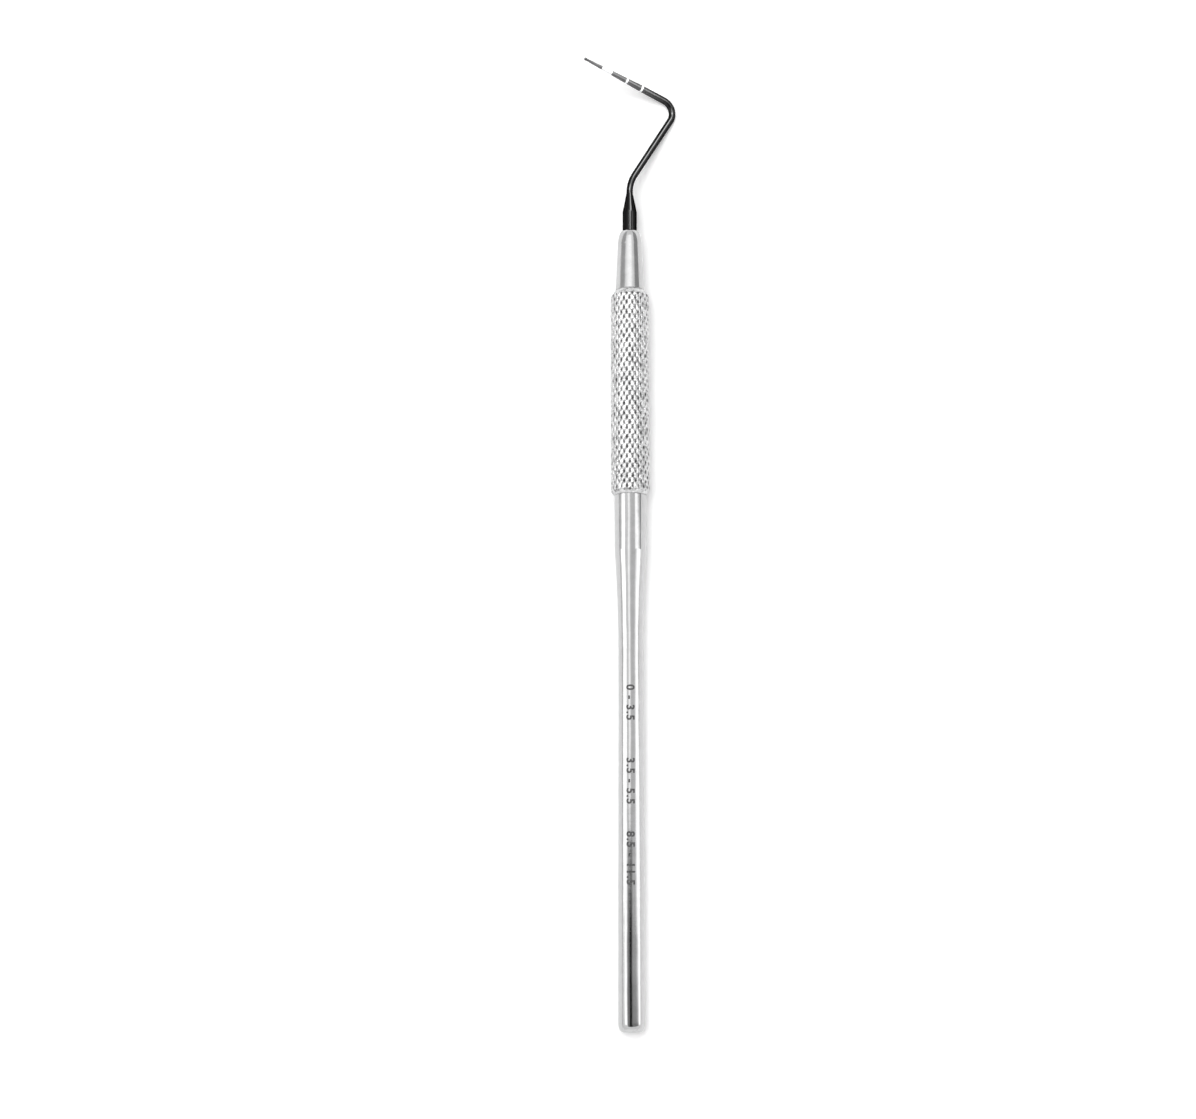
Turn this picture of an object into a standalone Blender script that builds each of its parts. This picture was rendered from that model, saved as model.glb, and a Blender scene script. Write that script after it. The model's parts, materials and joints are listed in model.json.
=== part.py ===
"""Single-ended periodontal probe with a ball tip, lying as it rests on a table.

Five pieces share one turned axis. The knurled grip is a tube with a plugged-in rear barrel and a
plugged-in nose cone. The barrel's bore is closed by a tail plug, and the nose cone's bore holds the
tang of the bent, black coated working end.

Each piece is modelled along its own Z axis, which runs from the tail towards the tip. Two nested
empties then lay the axis down: one pitches it onto the tail and the grip's rear edge, the other
rolls it until the elbow of the working end touches the table.

Row frame: metres, +Y from the tail to the tip, +X towards the elbow, +Z up. The origin is under the
middle of the whole instrument, on the table.
"""

from math import acos, asin, atan2, ceil, cos, pi, radians, sin, sqrt, tan

import bmesh
import bpy
import numpy as np
from mathutils import Vector

MM = 0.001

# Play left between the pieces: round a spigot or tang, and between two seated faces
FIT_GAP = 0.05 * MM
SEAT_GAP = 0.05 * MM

# Tail plug
TAIL_FLAT_DIAMETER = 2.5 * MM
TAIL_ROUNDING_LENGTH = 1.45 * MM
TAIL_DIAMETER = 4.4 * MM
PLUG_SPIGOT_LENGTH = 6.0 * MM

# Rear barrel: a stem that thins to a waist, a flare, and a plain collar
BARREL_BORE = 2.4 * MM
STEM_LENGTH = 52.0 * MM
WAIST_DIAMETER = 4.12 * MM
WAIST_LENGTH = 8.5 * MM
FLARE_LENGTH = 16.8 * MM
COLLAR_REAR_DIAMETER = 5.28 * MM
COLLAR_LENGTH = 9.4 * MM
COLLAR_FRONT_DIAMETER = 5.45 * MM
BARREL_SPIGOT_LENGTH = 10.0 * MM

# Knurled grip
GRIP_DIAMETER = 6.5 * MM
GRIP_LENGTH = 35.4 * MM
GRIP_BORE = 3.6 * MM
GRIP_REAR_CHAMFER_LENGTH = 0.6 * MM
GRIP_FRONT_CHAMFER_LENGTH = 1.1 * MM
KNURL_COUNT = 20
KNURL_ANGLE = radians(31.6)
KNURL_DEPTH = 0.2 * MM
KNURL_LAND = 0.55

# Nose cone
NOSE_REAR_DIAMETER = 4.9 * MM
NOSE_CONE_LENGTH = 8.4 * MM
NOSE_SHOULDER_DIAMETER = 4.1 * MM
NOSE_SHOULDER_LENGTH = 2.6 * MM
NOSE_SPIGOT_LENGTH = 10.0 * MM
NOSE_EDGE_WIDTH = 0.12 * MM

# Working end: tang, base, cone and a wire that is bent twice
TANG_DIAMETER = 1.6 * MM
TANG_LENGTH = 12.0 * MM
BASE_DIAMETER = 2.42 * MM
BASE_LENGTH = 2.8 * MM
BASE_CONE_LENGTH = 3.45 * MM
NECK_DIAMETER = 1.07 * MM
ELBOW_DIAMETER = 1.14 * MM
NECK_BEND_STATION = 8.1 * MM
NECK_BEND_ANGLE = radians(32.5)
NECK_BEND_RADIUS = 6.0 * MM
SHANK_LENGTH = 17.6 * MM
ELBOW_ANGLE = radians(103.7)
ELBOW_RADIUS = 2.35 * MM
TIP_LENGTH = 19.05 * MM

# Calibrated end, measured back from the very tip
BALL_DIAMETER = 0.5 * MM
BALL_NECK_DIAMETER = 0.4 * MM
BARE_BAND = (3.5 * MM, 5.5 * MM)
LINE_MARKS = (8.5 * MM, 11.5 * MM)
LINE_WIDTH = 0.4 * MM
MARK_DEPTH = 0.015 * MM

# Edge breaks and mesh fineness
SPIGOT_CHAMFER = 0.3 * MM
EDGE_BREAK = 0.06 * MM
TURNED_SIDES = 2 * KNURL_COUNT
WIRE_SIDES = 20
CURVE_STEPS = 8
NECK_BEND_STEPS = 5
ELBOW_STEPS = 14
BALL_STEPS = 6
SHARP_ANGLE = radians(24)
WELD = 1e-8

# Stations along the axis, from the face of the tail
BARREL_STATION = TAIL_ROUNDING_LENGTH + SEAT_GAP
BARREL_LENGTH = STEM_LENGTH + WAIST_LENGTH + FLARE_LENGTH + COLLAR_LENGTH
GRIP_STATION = BARREL_STATION + BARREL_LENGTH + SEAT_GAP
NOSE_STATION = GRIP_STATION + GRIP_LENGTH + SEAT_GAP
NOSE_LENGTH = NOSE_CONE_LENGTH + NOSE_SHOULDER_LENGTH
WORKING_END_STATION = NOSE_STATION + NOSE_LENGTH + SEAT_GAP


def clear_scene():
    for item in list(bpy.data.objects):
        bpy.data.objects.remove(item, do_unlink=True)


def metal(name, colour, roughness, metallic):
    """A Principled material."""
    material = bpy.data.materials.new(name)
    material.use_nodes = True
    shader = material.node_tree.nodes["Principled BSDF"]
    shader.inputs["Base Color"].default_value = (*colour, 1.0)
    shader.inputs["Roughness"].default_value = roughness
    shader.inputs["Metallic"].default_value = metallic
    material.diffuse_color = (*colour, 1.0)
    return material


def add_object(name, mesh, materials):
    """Turn a bmesh into a smooth shaded object with its faces pointing out."""
    bmesh.ops.remove_doubles(mesh, verts=mesh.verts, dist=WELD)
    bmesh.ops.recalc_face_normals(mesh, faces=mesh.faces)
    data = bpy.data.meshes.new(name)
    mesh.to_mesh(data)
    mesh.free()
    for material in materials:
        data.materials.append(material)
    data.shade_smooth()
    data.set_sharp_from_angle(angle=SHARP_ANGLE)
    item = bpy.data.objects.new(name, data)
    bpy.context.scene.collection.objects.link(item)
    return item


def turned(name, outline, material):
    """A body of revolution about Z.

    The outline is a list of (station, radius). One that starts and ends on the axis makes a solid
    body, any other is closed into a ring section and makes a tube.
    """
    mesh = bmesh.new()
    points = [mesh.verts.new((radius, 0.0, station)) for station, radius in outline]
    pairs = list(zip(points, points[1:]))
    if outline[0][1] > 0:
        pairs.append((points[-1], points[0]))
    edges = [mesh.edges.new(pair) for pair in pairs]
    bmesh.ops.spin(
        mesh,
        geom=points + edges,
        cent=(0.0, 0.0, 0.0),
        axis=(0.0, 0.0, 1.0),
        angle=2 * pi,
        steps=TURNED_SIDES,
        use_merge=True,
    )
    return add_object(name, mesh, [material])


def spigot(root_station, end_station, radius):
    """Outline of a chamfered plug from its root to its end on the axis."""
    towards_end = 1 if end_station > root_station else -1
    return [
        (root_station, radius),
        (end_station - towards_end * SPIGOT_CHAMFER, radius),
        (end_station, radius - SPIGOT_CHAMFER),
    ]


def tail_plug():
    """The rounded end of the handle, with a spigot in the barrel's bore."""
    flat = TAIL_FLAT_DIAMETER / 2
    drop = TAIL_DIAMETER / 2 - flat
    outline = [(0.0, 0.0)]
    for step in range(CURVE_STEPS + 1):
        turn = pi / 2 * step / CURVE_STEPS
        outline.append((TAIL_ROUNDING_LENGTH * (1 - cos(turn)), flat + drop * sin(turn)))
    end = TAIL_ROUNDING_LENGTH + PLUG_SPIGOT_LENGTH
    outline += spigot(TAIL_ROUNDING_LENGTH, end, BARREL_BORE / 2 - FIT_GAP)
    outline.append((end, 0.0))
    return turned("tail_plug", outline, metal("plug_steel", (0.76, 0.76, 0.77), 0.16, 1.0))


def rear_barrel():
    """The slim tubular tail: stem, waist, flare, collar and the spigot inside the grip."""
    waist = WAIST_DIAMETER / 2
    flare = COLLAR_REAR_DIAMETER / 2 - waist
    flare_station = STEM_LENGTH + WAIST_LENGTH
    outline = [(0.0, TAIL_DIAMETER / 2), (STEM_LENGTH, waist)]
    for step in range(CURVE_STEPS + 1):
        share = step / CURVE_STEPS
        outline.append((flare_station + FLARE_LENGTH * share, waist + flare * share**2))
    outline.append((BARREL_LENGTH, COLLAR_FRONT_DIAMETER / 2))
    end = BARREL_LENGTH + BARREL_SPIGOT_LENGTH
    outline += spigot(BARREL_LENGTH, end, GRIP_BORE / 2 - FIT_GAP)
    outline.append((end, BARREL_BORE / 2))
    outline.append((0.0, BARREL_BORE / 2))
    return turned("rear_barrel", outline, metal("barrel_steel", (0.76, 0.76, 0.77), 0.14, 1.0))


def knurl_blank():
    """A rod covered with flat topped diamonds, longer than the grip.

    Row by row, the valley corners sit half a diamond further round. A diamond spans two rows, and
    its land is the same diamond, smaller, at the full diameter of the grip.
    """
    land_radius = GRIP_DIAMETER / 2
    valley_radius = land_radius - KNURL_DEPTH
    half_turn = pi / KNURL_COUNT
    row_pitch = half_turn * land_radius / tan(KNURL_ANGLE)
    rows = ceil(GRIP_LENGTH / row_pitch) + 4
    first_row = (GRIP_LENGTH - rows * row_pitch) / 2
    mesh = bmesh.new()

    def corner(angle, station, radius):
        return mesh.verts.new((radius * cos(angle), radius * sin(angle), station))

    valleys = []
    for row in range(rows + 1):
        start = half_turn * (row % 2)
        valleys.append([
            corner(start + 2 * half_turn * column, first_row + row * row_pitch, valley_radius)
            for column in range(KNURL_COUNT)
        ])
    for row in range(1, rows):
        for column in range(KNURL_COUNT):
            shift = row % 2
            around = (
                valleys[row][column],
                valleys[row - 1][(column + shift) % KNURL_COUNT],
                valleys[row][(column + 1) % KNURL_COUNT],
                valleys[row + 1][(column + shift) % KNURL_COUNT],
            )
            middle = half_turn * (shift + 2 * column + 1)
            station = first_row + row * row_pitch
            land_turn = half_turn * KNURL_LAND
            land_rise = row_pitch * KNURL_LAND
            land = (
                corner(middle - land_turn, station, land_radius),
                corner(middle, station - land_rise, land_radius),
                corner(middle + land_turn, station, land_radius),
                corner(middle, station + land_rise, land_radius),
            )
            mesh.faces.new(land)
            for side in range(4):
                beside = (side + 1) % 4
                mesh.faces.new((around[side], around[beside], land[beside], land[side]))
    bmesh.ops.triangulate(mesh, faces=mesh.faces)
    for border, inner, station in (
        (valleys[0], valleys[1], first_row),
        (valleys[rows], valleys[rows - 1], first_row + rows * row_pitch),
    ):
        ring = sorted(border + inner, key=lambda point: atan2(point.co.y, point.co.x))
        centre = mesh.verts.new((0.0, 0.0, station))
        for point, following in zip(ring, ring[1:] + ring[:1]):
            mesh.faces.new((centre, point, following))
    return add_object("knurled_grip", mesh, [metal("grip_steel", (0.74, 0.74, 0.75), 0.2, 1.0)])


def knurled_grip():
    """The knurled tube, cut to length and chamfered right through its diamonds."""
    grip = knurl_blank()
    clear_radius = GRIP_DIAMETER / 2 + KNURL_DEPTH
    rear_slope = (GRIP_DIAMETER - COLLAR_FRONT_DIAMETER) / 2 / GRIP_REAR_CHAMFER_LENGTH
    front_slope = (GRIP_DIAMETER - NOSE_REAR_DIAMETER) / 2 / GRIP_FRONT_CHAMFER_LENGTH
    rear_end = GRIP_REAR_CHAMFER_LENGTH + KNURL_DEPTH / rear_slope
    front_end = GRIP_LENGTH - GRIP_FRONT_CHAMFER_LENGTH - KNURL_DEPTH / front_slope
    outline = [
        (0.0, GRIP_BORE / 2),
        (0.0, COLLAR_FRONT_DIAMETER / 2),
        (rear_end, clear_radius),
        (front_end, clear_radius),
        (GRIP_LENGTH, NOSE_REAR_DIAMETER / 2),
        (GRIP_LENGTH, GRIP_BORE / 2),
    ]
    envelope = turned("grip_envelope", outline, grip.data.materials[0])
    envelope.hide_render = True
    envelope.display_type = "WIRE"
    cut = grip.modifiers.new("cut_to_envelope", "BOOLEAN")
    cut.operation = "INTERSECT"
    cut.solver = "EXACT"
    cut.object = envelope
    return grip, envelope


def nose_cone():
    """The cone ahead of the grip, with a spigot behind it and a blind bore for the tang."""
    shoulder = NOSE_SHOULDER_DIAMETER / 2
    face = BASE_DIAMETER / 2 + NOSE_EDGE_WIDTH
    rear = [(-NOSE_SPIGOT_LENGTH, 0.0)]
    rear += reversed(spigot(0.0, -NOSE_SPIGOT_LENGTH, GRIP_BORE / 2 - FIT_GAP))
    outline = rear + [(0.0, NOSE_REAR_DIAMETER / 2)]
    for step in range(CURVE_STEPS + 1):
        turn = pi / 2 * step / CURVE_STEPS
        station = NOSE_CONE_LENGTH + NOSE_SHOULDER_LENGTH * sin(turn)
        outline.append((station, face + (shoulder - face) * cos(turn)))
    bore = TANG_DIAMETER / 2 + FIT_GAP
    bore_end = NOSE_LENGTH - TANG_LENGTH - SEAT_GAP
    outline += [(NOSE_LENGTH, bore), (bore_end, bore), (bore_end, 0.0)]
    return turned("nose_cone", outline, metal("nose_steel", (0.76, 0.76, 0.77), 0.14, 1.0))


def wire_path():
    """The bent centreline, as a function of the length along it.

    The first straight starts at the nose's face. Each bend is an arc that touches the straights
    beside it, so it takes its tangent length off both. Returns the function, the whole length, and
    the lengths at which the two bends start and end.
    """
    neck_tangent = NECK_BEND_RADIUS * tan(NECK_BEND_ANGLE / 2)
    elbow_tangent = ELBOW_RADIUS * tan(ELBOW_ANGLE / 2)
    pieces = (
        (NECK_BEND_STATION - neck_tangent, 0.0),
        (NECK_BEND_RADIUS * NECK_BEND_ANGLE, NECK_BEND_ANGLE),
        (SHANK_LENGTH - neck_tangent - elbow_tangent, 0.0),
        (ELBOW_RADIUS * ELBOW_ANGLE, -ELBOW_ANGLE),
        (TIP_LENGTH - elbow_tangent, 0.0),
    )
    starts = [0.0]
    for length, _ in pieces:
        starts.append(starts[-1] + length)

    def place(distance):
        """Point (x, z) of the centreline and its heading, as an angle from Z towards X."""
        x, z, heading = 0.0, 0.0, 0.0
        for (length, turn), start in zip(pieces, starts):
            last = distance <= start + length or start == starts[-2]
            along = distance - start if last else length
            bend = turn * along / length
            chord = along if turn == 0 else 2 * length / turn * sin(bend / 2)
            x += chord * sin(heading + bend / 2)
            z += chord * cos(heading + bend / 2)
            heading += bend
            if last:
                return x, z, heading

    return place, starts[-1], (starts[1], starts[2]), (starts[3], starts[4])


def wire_profile(length, neck_bend, elbow):
    """The working end's (distance, radius, bare) rings, from the tang's end to the ball."""
    tang = TANG_DIAMETER / 2
    base = BASE_DIAMETER / 2
    neck = NECK_DIAMETER / 2
    elbow_radius = ELBOW_DIAMETER / 2
    cone_end = BASE_LENGTH + BASE_CONE_LENGTH
    ball = BALL_DIAMETER / 2
    ball_neck = BALL_NECK_DIAMETER / 2
    ball_centre = length - ball
    neck_end = ball_centre - sqrt(ball**2 - ball_neck**2)
    taper_start = length - LINE_MARKS[-1] - LINE_WIDTH

    def wire_radius(distance):
        stops = (cone_end, elbow[0], taper_start, neck_end)
        return float(np.interp(distance, stops, (neck, elbow_radius, elbow_radius, ball_neck)))

    rings = [
        (-TANG_LENGTH, tang - EDGE_BREAK, False),
        (EDGE_BREAK - TANG_LENGTH, tang, False),
        (0.0, tang, False),
        (0.0, base - EDGE_BREAK, False),
        (EDGE_BREAK, base, False),
        (BASE_LENGTH, base, False),
        (cone_end, neck, False),
    ]
    for (start, end), steps in ((neck_bend, NECK_BEND_STEPS), (elbow, ELBOW_STEPS)):
        for step in range(steps + 1):
            distance = start + (end - start) * step / steps
            if distance > cone_end:
                rings.append((distance, wire_radius(distance), False))
    marks = [BARE_BAND] + [(mark - LINE_WIDTH / 2, mark + LINE_WIDTH / 2) for mark in LINE_MARKS]
    for near, far in sorted(marks, reverse=True):
        for distance, bare in ((length - far, True), (length - near, False)):
            coated = (distance, wire_radius(distance), bare)
            ground = (distance, wire_radius(distance) - MARK_DEPTH, bare)
            rings += [coated, ground] if bare else [ground, coated]
    first_turn = acos((ball_centre - neck_end) / ball)
    for step in range(BALL_STEPS):
        turn = first_turn + (pi - first_turn) * step / BALL_STEPS
        rings.append((ball_centre - ball * cos(turn), ball * sin(turn), False))
    return rings


def working_end():
    """The bent wire with its tang, base, ground marks and ball tip."""
    place, length, neck_bend, elbow = wire_path()
    rings = wire_profile(length, neck_bend, elbow)
    mesh = bmesh.new()
    loops = []
    for distance, radius, _ in rings:
        x, z, heading = place(distance)
        centre = Vector((x, 0.0, z))
        across = Vector((cos(heading), 0.0, -sin(heading)))
        loops.append([
            mesh.verts.new(
                centre
                + radius * cos(2 * pi * side / WIRE_SIDES) * across
                + Vector((0.0, radius * sin(2 * pi * side / WIRE_SIDES), 0.0))
            )
            for side in range(WIRE_SIDES)
        ])
    for index in range(len(loops) - 1):
        (start, start_radius, bare), (end, _, _) = rings[index : index + 2]
        for side in range(WIRE_SIDES):
            beside = (side + 1) % WIRE_SIDES
            face = mesh.faces.new((
                loops[index][side],
                loops[index][beside],
                loops[index + 1][beside],
                loops[index + 1][side],
            ))
            face.material_index = 1 if bare and end > start else 0
    mesh.faces.new(loops[0])
    x, z, _ = place(length)
    tip = mesh.verts.new((x, 0.0, z))
    for side in range(WIRE_SIDES):
        mesh.faces.new((loops[-1][side], loops[-1][(side + 1) % WIRE_SIDES], tip))
    coating = metal("black_coating", (0.012, 0.012, 0.013), 0.3, 0.0)
    ground = metal("ground_steel", (0.8, 0.8, 0.8), 0.25, 1.0)
    return add_object("working_end", mesh, [coating, ground])


def rest_angles():
    """Pitch and roll with which the instrument lies on tail, grip and elbow."""
    tail_radius = TAIL_DIAMETER / 2
    grip_radius = GRIP_DIAMETER / 2
    grip_edge = GRIP_STATION + GRIP_REAR_CHAMFER_LENGTH
    pitch = atan2(grip_radius - tail_radius, grip_edge - TAIL_ROUNDING_LENGTH)
    place, _, _, (start, end) = wire_path()
    bend = [place(start + (end - start) * step / ELBOW_STEPS) for step in range(ELBOW_STEPS + 1)]
    reach, station, _ = max(bend)
    ahead = WORKING_END_STATION + station - grip_edge
    axis_height = grip_radius * cos(pitch) + ahead * sin(pitch)
    roll = asin((axis_height - ELBOW_DIAMETER / 2) / (reach * cos(pitch)))
    return pitch, roll


def empty(name, parent, turn):
    item = bpy.data.objects.new(name, None)
    item.empty_display_size = GRIP_DIAMETER
    item.parent = parent
    item.rotation_euler = turn
    bpy.context.scene.collection.objects.link(item)
    return item


def stand_at_origin(root, pieces):
    """Move the root so that the origin is under the middle of the pieces' common box."""
    bpy.context.view_layer.update()
    graph = bpy.context.evaluated_depsgraph_get()
    corners = []
    for piece in pieces:
        shape = piece.evaluated_get(graph)
        places = np.array([shape.matrix_world @ point.co for point in shape.data.vertices])
        corners += [places.min(axis=0), places.max(axis=0)]
    low, high = np.min(corners, axis=0), np.max(corners, axis=0)
    middle = (low + high) / 2
    root.location = (-middle[0], -middle[1], -low[2])


def main():
    clear_scene()
    pitch, roll = rest_angles()
    root = empty("probe", None, (0.0, 0.0, 0.0))
    pitched = empty("pitched_axis", root, (pitch - pi / 2, 0.0, 0.0))
    axis = empty("handle_axis", pitched, (0.0, 0.0, roll))
    grip, envelope = knurled_grip()
    stations = {
        tail_plug(): 0.0,
        rear_barrel(): BARREL_STATION,
        grip: GRIP_STATION,
        envelope: GRIP_STATION,
        nose_cone(): NOSE_STATION,
        working_end(): WORKING_END_STATION,
    }
    for piece, station in stations.items():
        piece.parent = axis
        piece.location = (0.0, 0.0, station)
    stand_at_origin(root, [piece for piece in stations if piece is not envelope])


main()
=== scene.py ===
"""Looks of a single-ended periodontal probe: fine turned, knurled and coated surfaces on its frame.

Every piece is modelled in the handle's own frame, whose Z axis runs from the face of the tail to the
tip and whose X axis points to the elbow, and is then laid where the frame's tail face says.
"""

import json
from math import acos, atan2, ceil, cos, pi, radians, sin, sqrt, tan

import bmesh
import bpy
import numpy as np
from mathutils import Matrix, Vector


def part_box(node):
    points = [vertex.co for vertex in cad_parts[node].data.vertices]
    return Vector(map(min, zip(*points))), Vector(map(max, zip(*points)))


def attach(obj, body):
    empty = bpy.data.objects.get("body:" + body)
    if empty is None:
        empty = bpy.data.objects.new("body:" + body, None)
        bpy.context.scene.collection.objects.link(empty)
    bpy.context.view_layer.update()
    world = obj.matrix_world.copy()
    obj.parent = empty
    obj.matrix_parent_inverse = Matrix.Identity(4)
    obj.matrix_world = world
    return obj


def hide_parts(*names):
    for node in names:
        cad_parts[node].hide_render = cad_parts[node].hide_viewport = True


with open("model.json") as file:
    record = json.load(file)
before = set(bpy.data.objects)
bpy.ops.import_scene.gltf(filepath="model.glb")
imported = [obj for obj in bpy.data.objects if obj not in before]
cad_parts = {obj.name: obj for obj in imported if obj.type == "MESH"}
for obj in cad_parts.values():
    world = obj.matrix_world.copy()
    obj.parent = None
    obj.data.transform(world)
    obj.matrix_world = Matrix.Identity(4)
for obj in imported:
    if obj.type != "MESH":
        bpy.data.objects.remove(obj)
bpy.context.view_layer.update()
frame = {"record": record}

MM = 0.001

# ---------------------------------------------------------------------------------------------
# Sizes of the instrument. They are those of its frame, but for the nose's front face, which lies
# further back by the base's setback, where the photo shows it
# ---------------------------------------------------------------------------------------------

FIT_GAP = 0.05 * MM
SEAT_GAP = 0.05 * MM

TAIL_FLAT_DIAMETER = 2.5 * MM
TAIL_ROUNDING_LENGTH = 1.45 * MM
TAIL_DIAMETER = 4.4 * MM
PLUG_SPIGOT_LENGTH = 6.0 * MM

BARREL_BORE = 2.4 * MM
STEM_LENGTH = 52.0 * MM
WAIST_DIAMETER = 4.12 * MM
WAIST_LENGTH = 8.5 * MM
FLARE_LENGTH = 16.8 * MM
COLLAR_REAR_DIAMETER = 5.28 * MM
COLLAR_LENGTH = 9.4 * MM
COLLAR_FRONT_DIAMETER = 5.45 * MM
BARREL_SPIGOT_LENGTH = 10.0 * MM

GRIP_DIAMETER = 6.5 * MM
GRIP_LENGTH = 35.4 * MM
GRIP_BORE = 3.6 * MM
GRIP_REAR_CHAMFER_LENGTH = 0.6 * MM
GRIP_FRONT_CHAMFER_LENGTH = 1.1 * MM
KNURL_COUNT = 20
KNURL_ANGLE = radians(31.6)
KNURL_DEPTH = 0.2 * MM
KNURL_LAND = 0.55

NOSE_REAR_DIAMETER = 4.9 * MM
NOSE_CONE_LENGTH = 7.8 * MM
NOSE_SHOULDER_DIAMETER = 4.1 * MM
NOSE_SHOULDER_LENGTH = 2.6 * MM
NOSE_SPIGOT_LENGTH = 10.0 * MM
NOSE_EDGE_WIDTH = 0.12 * MM

TANG_DIAMETER = 1.6 * MM
TANG_LENGTH = 12.0 * MM
BASE_DIAMETER = 2.42 * MM
BASE_LENGTH = 2.8 * MM
BASE_SETBACK = 0.6 * MM
BASE_CONE_LENGTH = 3.45 * MM
NECK_DIAMETER = 1.07 * MM
ELBOW_DIAMETER = 1.14 * MM
NECK_BEND_STATION = 8.1 * MM
NECK_BEND_ANGLE = radians(32.5)
NECK_BEND_RADIUS = 6.0 * MM
SHANK_LENGTH = 17.6 * MM
ELBOW_ANGLE = radians(103.7)
ELBOW_RADIUS = 2.35 * MM
TIP_LENGTH = 19.05 * MM

BALL_DIAMETER = 0.5 * MM
BALL_NECK_DIAMETER = 0.4 * MM
BARE_BAND = (3.5 * MM, 5.5 * MM)
LINE_MARKS = (8.5 * MM, 11.5 * MM)
LINE_WIDTH = 0.4 * MM
MARK_DEPTH = 0.015 * MM

BARREL_STATION = TAIL_ROUNDING_LENGTH + SEAT_GAP
BARREL_LENGTH = STEM_LENGTH + WAIST_LENGTH + FLARE_LENGTH + COLLAR_LENGTH
GRIP_STATION = BARREL_STATION + BARREL_LENGTH + SEAT_GAP
NOSE_STATION = GRIP_STATION + GRIP_LENGTH + SEAT_GAP
NOSE_LENGTH = NOSE_CONE_LENGTH + NOSE_SHOULDER_LENGTH
WORKING_END_STATION = NOSE_STATION + NOSE_LENGTH + SEAT_GAP + BASE_SETBACK

# Edge roundings of the visual surfaces
EDGE_ROUNDING = 0.08 * MM
SEAM_ROUNDING = 0.035 * MM
COLLAR_ROUNDING = 3 * EDGE_ROUNDING
BASE_ROUNDING = 4 * EDGE_ROUNDING
NECK_ROUNDING = 12 * EDGE_ROUNDING
LONGEST_ROUNDING = 0.45
CLOSED_SEAM = 0.005 * MM

# Fineness of the visual surfaces
TURNED_SIDES = 160
WIRE_SIDES = 48
ROUNDING_STEPS = 5
CURVE_STEPS = 32
ELBOW_STEPS = 48
NECK_BEND_STEPS = 20
BALL_STEPS = 14
HOLD_LENGTH = 0.04 * MM
SHARP_ANGLE = radians(35)
ON_AXIS = 1e-9
SAME_PLACE = 1e-7

# Knurl: places of the points across a pitch, rounding of a land's edge and reach of a pit in shares
# of a pitch, the pits' share of the depth, and the colour levels of the lands and the chamfers, below which
# the pits get painted shade
KNURL_SAMPLES = (0.0, 0.05, 0.11, 0.18, 0.26, 0.36, 0.5)
KNURL_ROUNDING = 0.075
KNURL_PIT = 0.3
KNURL_PITTING = 0.7
KNURL_UNSHADED_LEVEL = 0.85
KNURL_CHAMFER_LEVEL = 0.78

# Depth legend on the stem: plain numbers for the marks of the working end, in millimetres
LEGEND = ("0 - 3.5", "3.5 - 5.5", "8.5 - 11.5")
LEGEND_FIRST_STATION = 56.2 * MM
LEGEND_PITCH = 12.0 * MM
LEGEND_STROKE = 0.065 * MM
LEGEND_SPACING = 1.2
LEGEND_HEIGHT = 1.35 * MM
LEGEND_FONT_SIZE = LEGEND_HEIGHT / 0.73
LEGEND_STRIPS = 12
LEGEND_BASELINE = -0.72 * MM
LEGEND_RELIEF = 0.006 * MM


# ---------------------------------------------------------------------------------------------
# Place of the handle in the row frame
# ---------------------------------------------------------------------------------------------


def wire_path():
    """The bent centreline as a function of the length along it from the nose's face.

    Returns the function, the whole length, and the lengths at which the two bends start and end.
    """
    neck_tangent = NECK_BEND_RADIUS * tan(NECK_BEND_ANGLE / 2)
    elbow_tangent = ELBOW_RADIUS * tan(ELBOW_ANGLE / 2)
    pieces = (
        (NECK_BEND_STATION - neck_tangent, 0.0),
        (NECK_BEND_RADIUS * NECK_BEND_ANGLE, NECK_BEND_ANGLE),
        (SHANK_LENGTH - neck_tangent - elbow_tangent, 0.0),
        (ELBOW_RADIUS * ELBOW_ANGLE, -ELBOW_ANGLE),
        (TIP_LENGTH - elbow_tangent, 0.0),
    )
    starts = [0.0]
    for length, _ in pieces:
        starts.append(starts[-1] + length)

    def place(distance):
        """Point (x, z) of the centreline and its heading, as an angle from Z towards X."""
        x, z, heading = 0.0, 0.0, 0.0
        for (length, turn), start in zip(pieces, starts):
            last = distance <= start + length or start == starts[-2]
            along = distance - start if last else length
            bend = turn * along / length
            chord = along if turn == 0 else 2 * length / turn * sin(bend / 2)
            x += chord * sin(heading + bend / 2)
            z += chord * cos(heading + bend / 2)
            heading += bend
            if last:
                return x, z, heading

    return place, starts[-1], (starts[1], starts[2]), (starts[3], starts[4])


def handle_frame():
    """Matrix of the handle's frame, from the frame's tail face and the reach of its elbow."""
    tail = frame["record"]["mounts"][0]
    origin = Vector(tail["pos_m"])
    along = -Vector(tail["axis"]).normalized()
    place, _, _, (start, end) = wire_path()
    reach = max(place(start + (end - start) * step / ELBOW_STEPS)[0] for step in range(ELBOW_STEPS))
    right_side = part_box("working_end")[1].x
    roll = acos((right_side - origin.x - ELBOW_DIAMETER / 2) / reach)
    level = Vector((1.0, 0.0, 0.0))
    to_elbow = cos(roll) * level + sin(roll) * along.cross(level)
    axes = Matrix((to_elbow, along.cross(to_elbow), along)).transposed()
    return Matrix.Translation(origin) @ axes.to_4x4(), roll


HANDLE, ROLL = handle_frame()
TOP_ANGLE = atan2(-cos(ROLL), -sin(ROLL))


# ---------------------------------------------------------------------------------------------
# Materials
# ---------------------------------------------------------------------------------------------


COATING_WEAR = 6.0 * MM
COATING_FADE = 50.0 * MM


def join(tree, value, socket):
    """Set a socket to a value, or link an output to it."""
    if isinstance(value, bpy.types.NodeSocket):
        tree.links.new(value, socket)
    else:
        socket.default_value = value


def computed(tree, operation, *values):
    """Result of a Math node."""
    made = tree.nodes.new("ShaderNodeMath")
    made.operation = operation
    for value, socket in zip(values, made.inputs):
        join(tree, value, socket)
    return made.outputs[0]


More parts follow.
